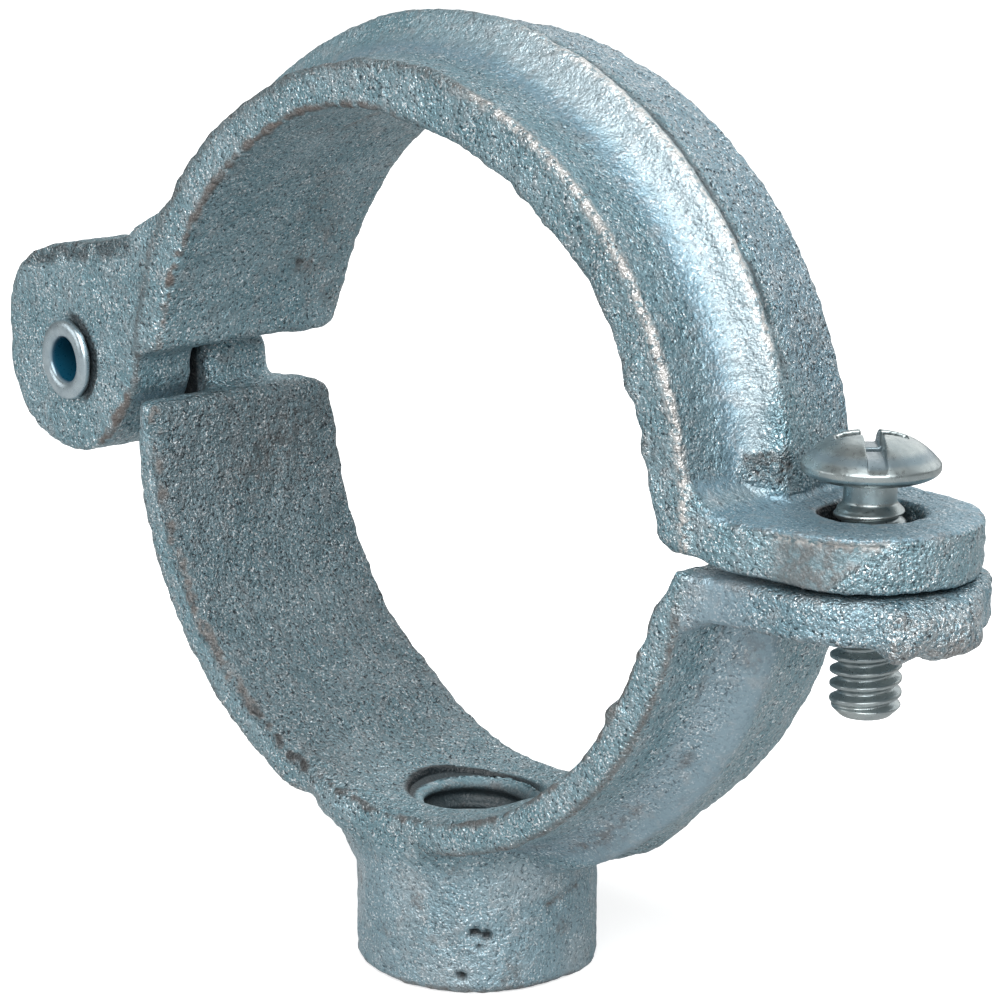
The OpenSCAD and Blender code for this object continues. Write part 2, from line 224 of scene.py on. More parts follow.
class Paint:
    """A material's node tree with short ways to add nodes and join them. Inputs may be given as
    numbers, colours or the outputs of other nodes, and lengths are millimetres."""

    def __init__(self, name):
        self.material = bpy.data.materials.new(name)
        self.material.use_nodes = True
        self.tree = self.material.node_tree
        self.tree.nodes.clear()
        self.out = self.tree.nodes.new("ShaderNodeOutputMaterial")
        coords = self.tree.nodes.new("ShaderNodeTexCoord")
        scale = self.tree.nodes.new("ShaderNodeVectorMath")
        scale.operation = "SCALE"
        scale.inputs["Scale"].default_value = 1 / MM
        self.tree.links.new(coords.outputs["Object"], scale.inputs[0])
        self.place = scale.outputs[0]

    def put(self, socket, value):
        """Joins an output to the socket, or sets the socket to a plain value."""
        if isinstance(value, bpy.types.NodeSocket):
            self.tree.links.new(value, socket)
        else:
            socket.default_value = value

    def add(self, kind, settings=None, **inputs):
        """A node of any kind; an input's name is written with _ for each space."""
        made = self.tree.nodes.new(kind)
        for key, value in (settings or {}).items():
            setattr(made, key, value)
        for key, value in inputs.items():
            self.put(made.inputs[key.replace("_", " ")], value)
        return made

    def math(self, operation, a, b):
        """The named operation on two values."""
        made = self.tree.nodes.new("ShaderNodeMath")
        made.operation = operation
        for socket, value in zip(made.inputs, (a, b)):
            self.put(socket, value)
        return made.outputs[0]

    def times(self, a, b):
        """Product of two values."""
        return self.math("MULTIPLY", a, b)

    def ramp(self, value, low, high, out_low=0.0, out_high=1.0):
        """Smooth step of a value, from out_low at low to out_high at high."""
        made = self.tree.nodes.new("ShaderNodeMapRange")
        made.interpolation_type = "SMOOTHSTEP"
        for socket, v in zip(made.inputs, (value, low, high, out_low, out_high)):
            self.put(socket, v)
        return made.outputs[0]

    def mix(self, share, a, b, blend="MIX"):
        """Colour a with the given share of colour b over it; a Mix node has its colours on these sockets."""
        made = self.tree.nodes.new("ShaderNodeMix")
        made.data_type = "RGBA"
        made.blend_type = blend
        for index, value in ((0, share), (6, a), (7, b)):
            self.put(made.inputs[index], value)
        return made.outputs[2]

    def noise(self, size, detail, rough):
        """Noise over the part, with lumps of about the given size."""
        made = self.add("ShaderNodeTexNoise", Vector=self.place,
                        Scale=1 / size, Detail=detail, Roughness=rough)
        return made.outputs["Fac"]

    def mark(self, name):
        """A mark that the skin carries at each point."""
        made = self.add("ShaderNodeAttribute", {"attribute_name": name})
        return made.outputs["Fac"]

    def bump(self, height, distance, strength):
        """Normal tilted as by a relief of the given height field."""
        made = self.add("ShaderNodeBump", Height=height, Distance=distance * MM, Strength=strength)
        return made.outputs["Normal"]

    def metal(self, base, metallic, roughness, normal):
        """Closes the tree with a metal surface and returns the material."""
        shader = self.add("ShaderNodeBsdfPrincipled", Base_Color=base, Metallic=metallic,
                          Roughness=roughness, Normal=normal)
        self.put(self.out.inputs[0], shader.outputs[0])
        return self.material


def rgb(r, g, b):
    """A colour given in screen values 0 to 255, as linear light with full alpha."""
    c = np.array([r, g, b]) / 255
    lin = np.where(c <= 0.04045, c / 12.92, ((c + 0.055) / 1.055) ** 2.4)
    return (*lin.tolist(), 1.0)


def cast_zinc(name):
    """Zinc plate on a sand casting: grey with a teal cast and paler clouds, lighter glints that are painted
    highlights and near-black specks that are painted shade, a few tenths of a millimetre across, on a
    hammered ground, brown lines where the plate is thin on an edge, smooth blue where the sand was fine, and
    a light grey that is a painted highlight on the flanks and paler clouds on the boss. The marks also paint
    shade in pits, gaps and holes, and a highlight on the crest's ridge."""
    s = Paint(name)
    edge, brown, dark_and_shade, smooth, blue, pale_and_highlight, line, frost_and_sheen = (
        s.mark(mark) for mark in ("edge", "brown", "dark_and_shade", "smooth", "blue", "pale_and_highlight", "line", "frost_and_sheen"))
    coarse = s.math("SUBTRACT", 1.0, smooth)

    # Ground colour with its clouds, and a painted sheen
    cloud = s.noise(5.0, 3.0, 0.6)
    tone = s.noise(1.2, 3.0, 0.6)
    base = s.mix(s.ramp(cloud, 0.32, 0.70), rgb(119, 151, 161), rgb(140, 166, 175))
    base = s.mix(s.times(blue, 0.7), base, rgb(128, 156, 172))
    base = s.mix(s.times(s.ramp(tone, 0.50, 0.70), 0.45), base, rgb(168, 173, 176))
    # light grey mark: a painted highlight on the flanks, and paler clouds of the plate on the boss
    base = s.mix(s.times(frost_and_sheen, 0.6), base, rgb(180, 190, 195))

    # Specks: painted shade as near-black specks between the grains, and painted highlights as lighter glints
    # in clusters
    speck = s.noise(0.27, 2.0, 0.6)
    fleck = s.noise(0.17, 1.0, 0.5)
    # painted shade: near-black specks in the hollows of the grain
    shade = s.times(s.ramp(speck, 0.47, 0.31), coarse)
    base = s.mix(s.times(shade, 0.88), base, rgb(34, 52, 61))
    cluster = s.ramp(s.noise(1.7, 2.0, 0.6), 0.38, 0.56, 0.35, 1.0)
    # painted highlights: near-white glints where the fine noise peaks, in clusters
    painted_glint = s.times(s.times(s.ramp(fleck, 0.575, 0.68), coarse), cluster)
    base = s.mix(painted_glint, base, rgb(236, 243, 246))

    # Wear and stains, and painted highlight and painted shade from the marks
    worn = s.times(s.ramp(edge, 1.2, 3.0), s.ramp(s.noise(0.9, 3.0, 0.65), 0.48, 0.60))
    base = s.mix(s.times(worn, 0.35), base, rgb(122, 112, 107))
    # lighter granules from the mark: a painted highlight on the crest's parting ridge, and lighter grains on
    # the bead and the facet's lip
    granule_and_highlight = s.times(pale_and_highlight, s.ramp(s.noise(0.45, 2.0, 0.6), 0.38, 0.56))
    base = s.mix(granule_and_highlight, base, rgb(236, 234, 231))
    patch = s.times(brown, s.ramp(s.noise(1.0, 4.0, 0.7), 0.40, 0.60))
    base = s.mix(patch, base, rgb(110, 99, 93))
    streak = s.times(line, s.ramp(s.noise(1.6, 3.0, 0.6), 0.30, 0.60, 0.55, 0.95))
    base = s.mix(streak, base, rgb(116, 109, 105))
    # painted shade: near-black wherever the darkening mark is set, in pits, the gap between the lugs, holes,
    # under the rivet lip and behind the crest; it also holds real darker scale and broken metal
    base = s.mix(dark_and_shade, base, rgb(16, 22, 26))

    # Relief and gloss
    hammer = s.noise(0.60, 2.0, 0.55)
    height = s.math("ADD", s.times(speck, 0.6), s.times(fleck, 0.35))
    height = s.times(s.math("ADD", height, hammer), coarse)
    gloss = s.math("SUBTRACT", s.ramp(smooth, -0.3, 0.7, 0.37, 0.54), s.times(painted_glint, 0.16))
    metallic = s.times(s.math("SUBTRACT", 1.0, dark_and_shade), 0.72)
    return s.metal(base, metallic, gloss, s.bump(height, 0.30, 1.0))


def bright_zinc(name, tint):
    """Bright zinc on steel: smooth, with faint dull spots, paler edges and teal depths darkened as painted
    shade.
    """
    s = Paint(name)
    edge, deep = s.mark("edge"), s.mark("deep")
    cloud = s.noise(1.6, 3.0, 0.6)
    dull = s.noise(0.35, 3.0, 0.6)
    base = s.mix(s.ramp(cloud, 0.35, 0.7), rgb(184, 196, 202), rgb(206, 216, 220))
    base = s.mix(s.times(s.ramp(dull, 0.56, 0.74), 0.25), base, rgb(140, 147, 150))
    base = s.mix(s.times(s.ramp(edge, 1.0, 3.0), 0.35), base, rgb(230, 229, 226))
    base = s.mix(1.0, base, tint, "MULTIPLY")
    # painted shade: the teal of the plate in bores and recesses, darkened towards near-black
    base = s.mix(deep, base, rgb(16, 74, 98))
    metallic = s.math("SUBTRACT", 0.95, s.times(deep, 0.7))
    gloss = s.ramp(dull, 0.35, 0.7, 0.27, 0.40)
    return s.metal(base, metallic, gloss, s.bump(s.noise(0.6, 2.0, 0.5), 0.010, 0.3))


# Castings

ROUNDING = 4               # passes that round the edges of both castings
INSIDE = (28.2, 26.4)      # ring radius, from the outside of the flange in to the bore
NEAR_EDGE = (-5.0, -8.4)   # y, from within the band out to its near face
FAR_EDGE = (1.0, 8.0)      # y, from the middle of the band out to its far face
BEAD_Y = -9.1              # bead along the near outer edge of the band
BEAD_R = 28.65
DARKEST = 0.97             # limit of the darkening mark, which holds painted shade and darker scale

# Centre, radius and weight of each
FLASH_BEADS = (
    ((24.05, -9.25, 48.63), 0.8, 1.0),
    ((24.83, -9.25, 50.05), 0.7, 0.8),
)
BOSS_PITS = (
    ((6.36, -6.58, 4.86), 0.40, 1.0),
    ((7.01, -5.88, 4.60), 0.42, 1.0),
    ((6.62, -6.32, 3.75), 0.24, 1.0),
    ((5.61, -7.23, 1.45), 0.44, 1.0),
    ((-0.73, -9.12, 0.88), 0.25, 0.6),
)
BORE_PIT = (-23.41, 3.62, 50.81)  # centre of the one pit in the upper bore


def ring_place(p):
    """Radius about the pipe axis and angle round it in degrees."""
    z = p[:, 2] - PIPE_Z
    return np.hypot(p[:, 0], z), np.degrees(np.arctan2(z, p[:, 0]))


def roughened(mesh, seed):
    """Rounds the edges of a casting a little, outside the rod hole, and gives the rise along its
    normals that sand leaves: a slow wave plus a shorter one, and rounded grains."""
    pair = edges_of(mesh)
    p = points_of(mesh)
    outside = np.maximum(step(np.hypot(p[:, 0], p[:, 1]), 5.6, 6.6), p[:, 2] > 16.0)
    p = rounder(p, pair, ROUNDING, outside)
    wave = 0.06 * lumps(p, 5.5, seed) + 0.06 * lumps(p, 1.9, seed + 1)
    grain = 0.11 * (0.55 - grains(p, 0.85, seed + 2)) + 0.06 * lumps(p, 0.6, seed + 3)
    return p, pair, wave, grain


def pushed(p, out):
    """Moves points away from the pipe axis by out, in the plane across the pipe."""
    arm = p[:, [0, 2]] - (0.0, PIPE_Z)
    q = p.copy()
    q[:, [0, 2]] += arm / np.maximum(np.hypot(arm[:, 0], arm[:, 1]), 1.0)[:, None] * out[:, None]
    return q


def edge_bead(ring_r, y, width):
    """Weight of the bead along the near outer edge of the band."""
    return bell((y - BEAD_Y) / 0.34, (ring_r - BEAD_R) / width)


def ragged_edge(ring_r, y):
    """Weight of the near edge of the bore, where the sand left it ragged."""
    return step(ring_r, 26.9, 26.2) * step(y, -8.2, -9.0)


def upper_places(p):
    """Where each point of the upper half lies before its skin is moved, and the weights of the places
    that the relief, the departures and the finish share."""
    x, y, z = p.T
    ring_r, angle = ring_place(p)
    ring = window(x, -29.0, 29.5, 1.5)
    flank = step(ring_r, 28.6, 29.3) * step(y, -1.2, -2.6) * step(y, -8.9, -8.4) * ring
    ear_top = step(x, 29.0, 31.0) * window(z, 40.55, 41.2, 0.15)
    far_band = step(y, -0.6, 0.4) * step(ring_r, 28.6, 29.4) * ring
    below_top = 51.66 + (x + 39.29) * 0.1763 - z
    scorched = window(below_top, 0.0, 1.2, 0.5) * step(y, -8.2, -8.9) * window(x, -41.5, -29.0, 1.5)
    smooth = flank * (0.42 + 0.16 * step(ring_r, 31.2, 29.4)) + 0.4 * ear_top
    facet_end = 39.2 + (z - 37.4) * 1.13
    facet = window(z, 37.2, 40.2, 0.5) * step(x, 33.8, 36.2) * step(y, -4.5, -5.5)
    facet = facet * step(x, facet_end + 0.5, facet_end - 0.1)
    return SimpleNamespace(
        x=x, y=y, z=z, ring_r=ring_r, angle=angle,
        hinge_end=step(z, 49.5, 46.8) * window(x, -28.6, -18.0, 1.2),
        lug=step(x, -30.5, -32.5) * step(y, -2.9, -3.4),
        flank=flank,
        ear_top=ear_top,
        far_band=far_band,
        scorched=scorched,
        smooth=smooth - 0.5 * far_band - 0.7 * scorched,
        bead=edge_bead(ring_r, y, 0.38) * ring,
        ridge=bell((y + 2.0) / 0.40) * step(ring_r, 31.0, 31.6) * ring,
        groove=bell((y + 0.90) / 0.45) * step(ring_r, 30.9, 31.3) * ring,
        bore_pit=near(p, BORE_PIT, 0.30),
        facet=facet,
        facet_lip=facet * step(z, 39.8, 40.2))


def upper_relief(p, at, wave, grain):
    """Rise of the upper skin along its normals: waves and grains, a bead along the near outer edge, a
    parting ridge on the crest with a groove behind it, flash on the near edge of the bore, a broken
    gate facet on the ear and a rough patch where the rib meets the ear. Also the patch's weight."""
    rise = wave + grain * (1 - 0.8 * at.smooth) - 0.12 * at.scorched
    rise += 0.22 * at.bead * (0.8 + 0.6 * lumps(p, 1.1, 41))
    rise += 0.14 * at.ridge * (0.7 + 0.6 * lumps(p, 1.3, 43)) - 0.22 * at.groove
    rise += 0.14 * ragged_edge(at.ring_r, at.y) * lumps(p, 1.2, 45)
    rise += 0.4 * dots(p, FLASH_BEADS) - 0.35 * at.bore_pit
    broken = near(p, (30.7, -2.7, 43.0), (1.9, 2.0, 1.4)) + 0.25 * lumps(p, 0.9, 47)
    broken = step(broken, 0.28, 0.55)
    rise += broken * (0.22 * lumps(p, 0.8, 47) - 0.12)
    rise = rise * (1 - 0.85 * at.facet) - 0.42 * at.facet * step(at.z, 37.0, 40.5)
    return rise, broken


def upper_departures(p, at):
    """Moves the upper skin where this casting departs from the plain section: the near edge of the
    bore is thicker by up to 1.2 mm, and the crown, the bore's ends, the lug and the ear move by less."""
    x, y, z, ring_r, angle = at.x, at.y, at.z, at.ring_r, at.angle
    near_bore = step(ring_r, *INSIDE) * step(y, *NEAR_EDGE)
    thick = 0.72 * window(angle, 12.0, 80.0, 14.0) + 0.52 * window(angle, 52.0, 92.0, 18.0)
    crown = window(angle, 80.0, 150.0, 10.0) * step(ring_r, 27.9, 28.7)
    crown = crown * (1 + 0.9 * step(angle, 114.0, 128.0))
    far_end = step(ring_r, *INSIDE) * step(y, *FAR_EDGE) * step(angle, 120.0, 168.0)
    lug_end = at.lug * step(x, -38.0, -43.5) * step(y, -4.2, -5.8)
    lug_top = at.lug * step(x, -33.0, -36.0) * step(z, 44.0, 48.0)
    ear_end = step(x, 40.0, 43.5)
    left_foot = step(z, 46.6, 45.5) * step(z, 42.0, 43.0) * window(x, -29.5, -20.0, 1.5)
    right_foot = step(z, 40.2, 38.4) * step(y, -4.0, -8.0) * window(x, 23.5, 27.0, 1.6)
    p = pushed(p, 0.25 * crown - thick * near_bore - 0.6 * far_end)
    p[:, 0] -= 0.62 * lug_end + 0.26 * ear_end
    p[:, 2] += 0.25 * lug_top - 0.42 * left_foot - 0.35 * right_foot
    return p


def upper_marks(p, n, pair, at):
    """Marks of the upper skin for its finish, each a weight by place."""
    x, y, z, ring_r, angle = at.x, at.y, at.z, at.ring_r, at.angle
    rivet_r = np.hypot(x - HINGE[0], z - HINGE[1])
    rivet_deg = np.degrees(np.arctan2(z - HINGE[1], x - HINGE[0]))
    # painted shadow: a crescent on the lug beside the rivet's lip, where the gap under the lip is in shadow
    by_rivet = window(rivet_r, 2.7, 3.75, 0.2) * window(rivet_deg, -50.0, 75.0, 25.0)
    rivet_lip_shadow = by_rivet * step(y, -8.9, -9.1)
    # painted shade: near-black on the face of the gap between the lugs
    slit_shade = step(x, -29.6, -30.2) * window(y, -3.5, -2.6, 0.15) * step(n[:, 1], 0.4, 0.8)
    # painted shade: the wall of the screw's clearance hole through the ear, heavier on its left side
    hole = step(np.hypot(x - SCREW_X, y), 3.9, 3.7) * step(z, 40.6, 40.3) * step(x, 30.0, 31.0)
    hole_left = step(x, SCREW_X + 1.5, SCREW_X - 1.5)
    edge = bend_of(p, n, pair, 4)
    lug_side = step(x, -29.0, -29.4) * step(x, -34.0, -33.0) * step(z, 47.5, 46.5)
    bore_left = step(ring_r, 26.9, 26.4) * step(angle, 75.0, 95.0)
    inner_line = step(edge, 1.1, 2.2) * step(y, -8.6, -9.0) * (bore_left + lug_side)
    whole = 1 - at.broken
    blue = at.flank * step(ring_r, 30.4, 29.0) + 0.8 * at.ear_top + 0.7 * at.far_band
    # lighter mark: a painted highlight on the parting ridge; lighter granules on the bead below 62 degrees
    # round the pipe and on the facet's lip
    pale_and_highlight = (0.95 * at.bead * step(angle, 80.0, 62.0) + 0.8 * at.ridge * step(angle, 85.0, 65.0)
            + 0.9 * at.facet_lip)
    # darkening mark: painted shadow in the groove behind the ridge; painted shade in the bore pit, under the
    # rivet's lip, in the gap between the lugs and in the clearance hole; the scorched band and the broken
    # patch are darker metal; the bead is darker above 80 degrees round the pipe
    dark_and_shade = (0.8 * at.groove * step(lumps(p, 1.7, 51), -0.9, -0.1)
            + 0.95 * at.bore_pit + 0.93 * rivet_lip_shadow + 0.93 * slit_shade
            + 0.72 * at.scorched * step(lumps(p, 0.7, 53), -0.8, 0.1)
            + hole * (0.9 * hole_left + 0.45)
            + 0.45 * at.bead * step(angle, 62.0, 80.0)
            + 0.4 * at.broken * step(lumps(p, 0.8, 49), -0.5, 0.4))
    brown = (0.20 * step(lumps(p, 6.0, 31), 0.1, 0.8) + 0.6 * at.broken + 0.4 * at.facet
             + 0.5 * near(p, BORE_PIT, 1.1)
             + 0.6 * beside(p, (-11.9, -0.8, 62.6), (-8.4, 0.4, 64.1), 0.7)
             + 0.3 * step(ring_r, 26.5, 26.15) * step(lumps(p, 3.0, 33), 0.2, 0.8))
    return {
        "edge": edge,
        "smooth": np.clip(at.smooth * whole + 0.55 * at.facet - 0.4 * at.broken, -0.8, 1),
        "blue": np.clip(blue, 0, 1) * (1 - at.facet) * whole,
        # painted highlight: light grey on the upper right flank towards the crest
        "frost_and_sheen": at.flank * step(ring_r, 29.2, 30.3) * step(angle, 100.0, 62.0) * whole,
        "pale_and_highlight": np.clip(pale_and_highlight, 0, 1),
        "line": np.clip(inner_line + 0.4 * at.bead + 0.35 * at.facet * (1 - at.facet_lip), 0, 1),
        "dark_and_shade": np.clip(dark_and_shade, 0, DARKEST),
        "brown": np.clip(brown, 0, 1),
    }


def upper_casting(material):
    """Upper half: the solid's skin, rounded, raised along its normals and pushed out of the plain
    section by the functions above."""
    mesh = fine_mesh("upper_half", voxel=0.26)
    p, pair, wave, grain = roughened(mesh, seed=3)
    at = upper_places(p)
    p = rounder(p, pair, 18, at.hinge_end)
    rise, at.broken = upper_relief(p, at, wave, grain)
    p = p + normals_of(mesh, p) * rise[:, None]
    p = upper_departures(p, at)
    marks = upper_marks(p, normals_of(mesh, p), pair, at)
    store("upper_casting", mesh, p, marks, "upper_ring", "upper_half", material)


def lower_places(p):
    """Where each point of the lower half lies before its skin is moved, and the weights of the places
    that the relief, the departures and the finish share."""
    x, y, z = p.T
    ring_r, angle = ring_place(p)
    boss_r = np.hypot(x, y)
    by_rim = step(y, -2.5, -5.0) * window(x, -8.5, 2.5, 2.0) * window(z, 8.0, 13.0, 2.0)
    by_rim = by_rim * step(ring_r, 27.2, 28.2)
    bored = step(boss_r, 5.6, 5.2) * step(z, 14.5, 14.0)
    boss = step(z, 11.5, 9.5) * (1 - bored)
    bore = step(ring_r, 27.0, 26.5)
    flank = step(ring_r, 28.7, 29.4) * step(y, -0.8, -2.2) * step(x, 36.0, 30.0) * step(z, 10.5, 12.0)
    smooth = flank * (0.8 - 0.55 * step(ring_r, 31.4, 29.8)) + 0.6 * bored + 0.32 * boss
    flare = window(boss_r, 9.0, 11.5, 1.5) * window(z, 9.8, 12.0, 2.6)
    screw_deg = np.degrees(np.arctan2(y, x - SCREW_X))
    ear_end = step(np.hypot(x - SCREW_X, y), 6.6, 7.6) * step(x, 38.0, 40.0)
    stub = ear_end * step(screw_deg, -52.0, -40.0) * step(screw_deg, 14.0, -4.0)
    return SimpleNamespace(
        x=x, y=y, z=z, ring_r=ring_r, angle=angle, boss_r=boss_r,
        hinge_end=step(z, 36.5, 39.0) * window(x, -28.6, -18.0, 1.2),
        by_rim=by_rim,
        bored=bored,
        boss=boss,
        bore=bore,
        flank=flank,
        smooth=np.clip(smooth, 0, 1),
        wall=step(boss_r, 4.6, 4.2) * step(z, 0.4, 0.9) * step(z, 12.9, 12.4),
        flare=flare * step(x, -2.0, -6.0) * step(y, 3.0, 0.0),
        bead=edge_bead(ring_r, y, 0.36) * step(z, 35.5, 33.0) * (1 - by_rim),
        ripple=bore * step(x, 0.0, -8.0),
        stub=stub * step(z, 32.6, 34.0) * step(z, 36.7, 35.4))


def lower_relief(p, at, wave, grain):
    """Rise of the lower skin along its normals: waves and grains, a fuller flare left of the boss, pits
    and a cold shut on the boss, a fine ripple in the left of the bore, a bead along the near outer
    edge and the broken stub of the gate. Also the weights of the pits and of the cold shut."""
    rise = wave + grain * (1 - 0.65 * at.smooth) + 0.75 * at.flare
    pits = step(dots(p, BOSS_PITS) + 0.2 * lumps(p, 0.5, 77), 0.18, 0.72)
    fold = beside(p, (9.04, -1.40, 6.39), (8.97, 1.83, 7.37), 0.28)
    rise -= 0.6 * pits + 0.28 * fold
    rise += 0.12 * ragged_edge(at.ring_r, at.y) * lumps(p, 1.2, 55)
    rise += 0.45 * near(p, (22.48, -9.25, 26.07), 0.9)
    rise += 0.13 * at.ripple * lumps(p * (1.0, 1.0, 0.6), 0.75, 79)
    rise += 0.10 * at.bead * (0.7 + 0.6 * lumps(p, 1.1, 57))
    rise = rise * (1 - at.bored) + at.stub * (0.8 + 0.45 * lumps(p, 1.3, 59))
    return rise, pits, fold


def lower_departures(p, at):
    """Moves the lower skin where this casting departs from the plain section: the shoulder stands out by
    up to 1.3 mm beside the boss, the floor is hollowed by up to 1 mm round the rod hole, and the rim
    and the ends of the bore move by less."""
    x, y, z, ring_r, angle = at.x, at.y, at.z, at.ring_r, at.angle
    behind = step(y, 0.0, 3.5) * step(ring_r, 28.4, 29.6)
    shoulder = behind * window(angle, -80.0, -14.0, 8.0)
    by_boss = behind * window(angle, -88.0, -62.0, 9.0) * step(at.boss_r, 9.0, 9.7)
    rim_left = step(ring_r, 28.0, 28.5) * step(y, -7.0, -8.6) * window(angle, -165.0, -116.0, 10.0)
    far_end = np.maximum(step(angle, -132.0, -165.0), step(angle, 0.0, 90.0))
    far_end = far_end * step(ring_r, *INSIDE) * step(y, *FAR_EDGE)
    mouth = step(ring_r, *INSIDE) * step(y, *NEAR_EDGE) * window(angle, -15.0, -8.0, 5.0)
    hollow = window(angle, -112.0, -64.0, 9.0) * (0.12 + 0.48 * step(y, -8.5, -2.0))
    hollow = hollow + 0.42 * window(angle, -98.0, -70.0, 16.0) * step(y, -1.0, 5.0)
    hollow = hollow * step(ring_r, 27.4, 26.3) * (1 - at.wall)
    right_top = window(x, 25.0, 27.6, 1.2) * window(z, 32.5, 36.6, 1.0)
    p = pushed(p, 0.42 * shoulder + 0.85 * by_boss + 0.3 * rim_left
               - 0.42 * far_end + 0.5 * mouth + hollow)
    p[:, 2] += 0.6 * right_top
    return p


def threaded(p, at):
    """Cuts the rod thread into the wall of the boss: a helix of depth 0.36 * (1 - cos), once round for
    each pitch of height."""
    turn = p[:, 2] / ROD_PITCH - np.arctan2(p[:, 1], p[:, 0]) / FULL_TURN
    deep = 0.36 * (1 - np.cos(FULL_TURN * turn)) * at.wall
    q = p.copy()
    q[:, :2] *= (1 + deep / np.maximum(at.boss_r, 1.0))[:, None]
    return q


def lower_marks(p, n, pair, at):
    """Marks of the lower skin for its finish, each a weight by place."""
    x, y, z, boss_r, angle = at.x, at.y, at.z, at.boss_r, at.angle
    edge = bend_of(p, n, pair, 4)
    rounded = step(edge, 1.0, 2.1)
    streak = lumps(np.stack([y * 1.6, angle * 0.16, at.ring_r], axis=1), 1.0, 71)
    # painted shade: near-black on the face of the gap between the lugs
    slit_shade = step(x, -29.6, -30.2) * window(y, -2.2, -1.3, 0.15) * step(-n[:, 1], 0.4, 0.8)
    inner_line = rounded * at.bore * step(y, -8.5, -8.9) * step(z, 10.0, 12.0)
    outer_line = at.bead * step(angle, -85.0, -70.0)
    mouth_line = rounded * step(z, 0.9, 0.5) * step(boss_r, 7.5, 8.5)
    ear_line = rounded * step(x, 31.0, 33.0) * step(z, 33.0, 34.0)
    # painted shadow: the far wall of the relief over the rod thread
    relief_wall_shadow = window(boss_r, 4.7, 5.5, 0.2) * step(x - 0.6 * y, 4.0, -2.0)
    # light grey mark: paler clouds of the plate on the boss, and a painted sheen on the lower flank
    frost_and_sheen = at.boss * (0.2 + 0.5 * step(lumps(p, 3.2, 73), -0.1, 0.6)) + 0.4 * at.flank
    blue = (0.8 * at.flank + 0.35 * step(z, 11.0, 9.0) + 0.5 * at.boss * step(x, -3.0, -7.0)
            + 0.4 * step(x, 30.0, 32.0))
    line = 0.8 * (inner_line + mouth_line) + 0.7 * outer_line + 0.25 * ear_line
    # darkening mark: painted shade in the pits, in the rod hole, on the relief wall, in the gap between the
    # lugs and over the left of the bore; the stub's patches are darker metal, and the inner line is darker
    # low down
    dark_and_shade = (DARKEST * at.pits + 0.4 * inner_line * step(z, 20.0, 16.0)
            # painted shade in the rod hole below the relief, and the relief wall's painted shadow
            + at.bored * (0.90 * step(z, 12.5, 11.6) + 0.93 * relief_wall_shadow)
            # painted shade: the gap between the lugs, and the left of the bore, which lies in the ring's
            # shade
            + 0.93 * slit_shade + 0.52 * at.bore * step(x, 2.0, -14.0)
            + 0.3 * at.stub * step(lumps(p, 0.9, 67), 0.25, 0.5))
    brown = (0.20 * step(lumps(p, 6.0, 37), 0.1, 0.8) + 0.8 * at.fold + 0.4 * at.bead
             + 0.5 * at.flank * step(streak, 0.0, 0.9)
             + 0.4 * at.boss * step(lumps(p, 1.4, 75), 0.3, 0.6)
             + 0.4 * at.stub * step(z, 34.6, 33.6)
             + 0.35 * beside(p, (-25.4, -2.0, 33.0), (-25.6, 6.0, 37.5), 2.2))
    return {
        "edge": edge,
        "frost_and_sheen": frost_and_sheen,
        "smooth": np.clip(at.smooth - 0.6 * at.stub - 0.5 * at.ripple, -0.8, 1),
        "blue": np.clip(blue, 0, 1),
        "pale_and_highlight": np.clip(0.7 * inner_line * step(x, -8.0, -14.0) + 0.3 * at.stub, 0, 1),
        "line": np.clip(line, 0, 1),
        "dark_and_shade": np.clip(dark_and_shade, 0, DARKEST),
        "brown": np.clip(brown, 0, 1),
    }


def lower_casting(material):
    """Lower half: the solid's skin, rounded, raised along its normals, pushed out of the plain section
    and threaded by the functions above."""
    mesh = fine_mesh("lower_half", voxel=0.285)
    p, pair, wave, grain = roughened(mesh, seed=17)
    at = lower_places(p)
    p = rounder(p, pair, 24, at.hinge_end)
    p = rounder(p, pair, 90, at.by_rim)
    rise, at.pits, at.fold = lower_relief(p, at, wave, grain)
    p = p + normals_of(mesh, p) * rise[:, None]
    p = threaded(lower_departures(p, at), at)
    marks = lower_marks(p, normals_of(mesh, p), pair, at)
    store("lower_casting", mesh, p, marks, "lower_ring", "lower_half", material)


# Screw and rivet

SCREW_TIP = PIPE_Z - 12.8
HEAD_UNDER = PIPE_Z + 3.45
HEAD_R = 4.56
CREST_Z = -0.39            # a height at which a crest of the thread would face +x
THREAD_DEPTH = 0.54


